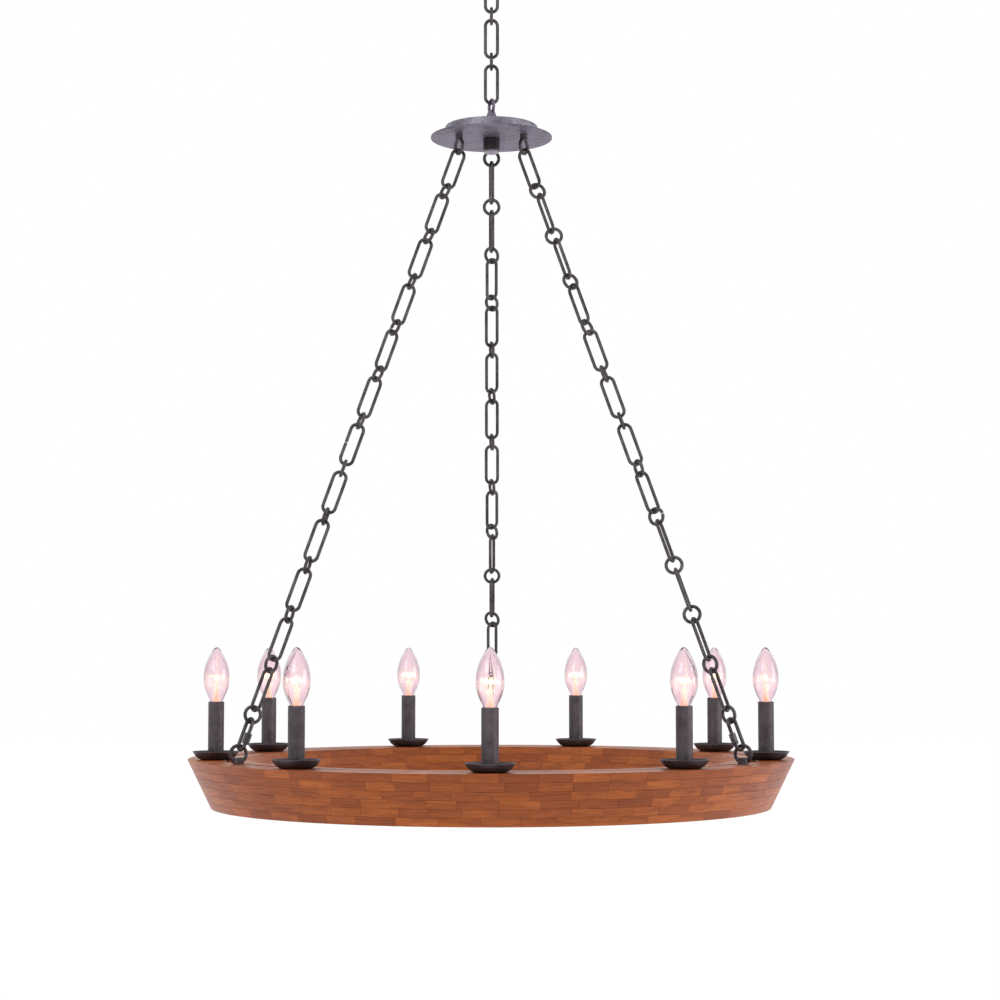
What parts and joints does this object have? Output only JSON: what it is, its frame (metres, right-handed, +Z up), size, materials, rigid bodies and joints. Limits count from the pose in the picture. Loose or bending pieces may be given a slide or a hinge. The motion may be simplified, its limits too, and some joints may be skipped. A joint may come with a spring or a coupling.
{
  "type": "wagon wheel chandelier",
  "caption": "Wagon wheel chandelier: a tapered wooden block ring with electric candles and drip pans, hung by three link chains from an iron hub on a short chain and ceiling canopy.",
  "frame": {"origin": "middle of the crossbar top face, where the fitting meets the ceiling box", "axes": "+Z up, out of the ceiling; -Y towards the front, where one candle stands; +X to the right along the crossbar"},
  "size_m": [0.86, 0.86, 1.2612],
  "materials": {
    "oak_blocks": "oiled satin",
    "dark_iron": "matte hammered",
    "chain_iron": "matte",
    "plated_steel": "zinc plated",
    "socket_plastic": "matte",
    "bulb_glass": "clear",
    "bulb_metal": "satin",
    "wire_cover": "matte"
  },
  "bodies": {
    "ceiling_fitting": {"crossbar": "plated_steel", "ceiling_canopy": "dark_iron", "canopy_loop": "dark_iron", "canopy_collar_nut": "dark_iron", "canopy_nipple": "plated_steel", "crossbar_nut": "plated_steel"},
    "chain_link_top": {"chain_link_top": "chain_iron"},
    "chain_ring_top": {"chain_ring_top": "chain_iron"},
    "chain_link_middle": {"chain_link_middle": "chain_iron"},
    "chain_ring_bottom": {"chain_ring_bottom": "chain_iron"},
    "chain_link_bottom": {"chain_link_bottom": "chain_iron"},
    "hub": {"hub_loop": "dark_iron", "hub_cover": "dark_iron", "hub_plate": "dark_iron", "hub_nipple": "plated_steel", "hub_finial": "dark_iron", "hub_eyes": "dark_iron", "hub_eye_nuts": "plated_steel"},
    "leg_left": {"leg_left_long_links": "chain_iron", "leg_left_round_links": "chain_iron", "leg_left_quick_link": "chain_iron"},
    "quick_nut_left": {"leg_left_quick_nut": "chain_iron"},
    "leg_right": {"leg_right_long_links": "chain_iron", "leg_right_round_links": "chain_iron", "leg_right_quick_link": "chain_iron"},
    "quick_nut_right": {"leg_right_quick_nut": "chain_iron"},
    "leg_back": {"leg_back_long_links": "chain_iron", "leg_back_round_links": "chain_iron", "leg_back_quick_link": "chain_iron"},
    "quick_nut_back": {"leg_back_quick_nut": "chain_iron"},
    "ring": {"wood_ring": "oak_blocks", "ring_eyes": "dark_iron", "wiring_harness": "wire_cover", "candle_inserts": "plated_steel", "candle_nipples": "plated_steel", "candle_pans": "dark_iron", "candle_sleeves": "dark_iron", "candle_sockets": "socket_plastic", "candle_nuts": "plated_steel"},
    "bulb_1": {"bulb_1_glass": "bulb_glass", "bulb_1_mount": "bulb_metal"},
    "bulb_2": {"bulb_2_glass": "bulb_glass", "bulb_2_mount": "bulb_metal"},
    "bulb_3": {"bulb_3_glass": "bulb_glass", "bulb_3_mount": "bulb_metal"},
    "bulb_4": {"bulb_4_glass": "bulb_glass", "bulb_4_mount": "bulb_metal"},
    "bulb_5": {"bulb_5_glass": "bulb_glass", "bulb_5_mount": "bulb_metal"},
    "bulb_6": {"bulb_6_glass": "bulb_glass", "bulb_6_mount": "bulb_metal"},
    "bulb_7": {"bulb_7_glass": "bulb_glass", "bulb_7_mount": "bulb_metal"},
    "bulb_8": {"bulb_8_glass": "bulb_glass", "bulb_8_mount": "bulb_metal"},
    "bulb_9": {"bulb_9_glass": "bulb_glass", "bulb_9_mount": "bulb_metal"}
  },
  "joints": [
    {"name": "top_link_swing", "type": "hinge", "parent": "ceiling_fitting", "child": "chain_link_top", "pos_m": [0, 0, -0.0585], "axis": [0, 1, 0], "range_deg": [-15, 15]},
    {"name": "top_ring_sway", "type": "hinge", "parent": "chain_link_top", "child": "chain_ring_top", "pos_m": [0, 0, -0.10905], "axis": [1, 0, 0], "range_deg": [-15, 15]},
    {"name": "middle_link_swing", "type": "hinge", "parent": "chain_ring_top", "child": "chain_link_middle", "pos_m": [0, 0, -0.12595], "axis": [0, 1, 0], "range_deg": [-15, 15]},
    {"name": "bottom_ring_sway", "type": "hinge", "parent": "chain_link_middle", "child": "chain_ring_bottom", "pos_m": [0, 0, -0.17665], "axis": [1, 0, 0], "range_deg": [-15, 15]},
    {"name": "bottom_link_swing", "type": "hinge", "parent": "chain_ring_bottom", "child": "chain_link_bottom", "pos_m": [0, 0, -0.19355], "axis": [0, 1, 0], "range_deg": [-15, 15]},
    {"name": "hub_sway", "type": "hinge", "parent": "chain_link_bottom", "child": "hub", "pos_m": [0, 0, -0.24425], "axis": [1, 0, 0], "range_deg": [-15, 15]},
    {"name": "ring_turn", "type": "hinge", "parent": "hub", "child": "ring", "pos_m": [0, 0, -1.19315], "axis": [0, 0, 1], "range_deg": [-5, 5], "stiffness_Nm_per_rad": 2.7},
    {"name": "leg_left_turn", "type": "hinge", "parent": "hub", "child": "leg_left", "pos_m": [-0.04677, -0.027, -0.3247], "axis": [0, 0, 1], "range_deg": [-5.9, 5.9]},
    {"name": "leg_right_turn", "type": "hinge", "parent": "hub", "child": "leg_right", "pos_m": [0.04677, -0.027, -0.3247], "axis": [0, 0, 1], "range_deg": [-5.9, 5.9]},
    {"name": "leg_back_turn", "type": "hinge", "parent": "hub", "child": "leg_back", "pos_m": [0, 0.054, -0.3247], "axis": [0, 0, 1], "range_deg": [-5.9, 5.9]},
    {"name": "quick_nut_left_slide", "type": "slide", "parent": "leg_left", "child": "quick_nut_left", "axis": [0.3177, 0.1834, 0.9303], "range_m": [0, 0.01]},
    {"name": "quick_nut_right_slide", "type": "slide", "parent": "leg_right", "child": "quick_nut_right", "axis": [-0.3177, 0.1834, 0.9303], "range_m": [0, 0.01]},
    {"name": "quick_nut_back_slide", "type": "slide", "parent": "leg_back", "child": "quick_nut_back", "axis": [0, -0.3669, 0.9303], "range_m": [0, 0.01]},
    {"name": "bulb_1_unscrew", "type": "slide", "parent": "ring", "child": "bulb_1", "axis": [0, 0, 1], "range_m": [0, 0.015]},
    {"name": "bulb_2_unscrew", "type": "slide", "parent": "ring", "child": "bulb_2", "axis": [0, 0, 1], "range_m": [0, 0.015]},
    {"name": "bulb_3_unscrew", "type": "slide", "parent": "ring", "child": "bulb_3", "axis": [0, 0, 1], "range_m": [0, 0.015]},
    {"name": "bulb_4_unscrew", "type": "slide", "parent": "ring", "child": "bulb_4", "axis": [0, 0, 1], "range_m": [0, 0.015]},
    {"name": "bulb_5_unscrew", "type": "slide", "parent": "ring", "child": "bulb_5", "axis": [0, 0, 1], "range_m": [0, 0.015]},
    {"name": "bulb_6_unscrew", "type": "slide", "parent": "ring", "child": "bulb_6", "axis": [0, 0, 1], "range_m": [0, 0.015]},
    {"name": "bulb_7_unscrew", "type": "slide", "parent": "ring", "child": "bulb_7", "axis": [0, 0, 1], "range_m": [0, 0.015]},
    {"name": "bulb_8_unscrew", "type": "slide", "parent": "ring", "child": "bulb_8", "axis": [0, 0, 1], "range_m": [0, 0.015]},
    {"name": "bulb_9_unscrew", "type": "slide", "parent": "ring", "child": "bulb_9", "axis": [0, 0, 1], "range_m": [0, 0.015]}
  ],
  "couplings": [
    {"joint": "leg_left_turn", "follows": "ring_turn", "ratio": 1.1602},
    {"joint": "leg_right_turn", "follows": "ring_turn", "ratio": 1.1602},
    {"joint": "leg_back_turn", "follows": "ring_turn", "ratio": 1.1602}
  ]
}
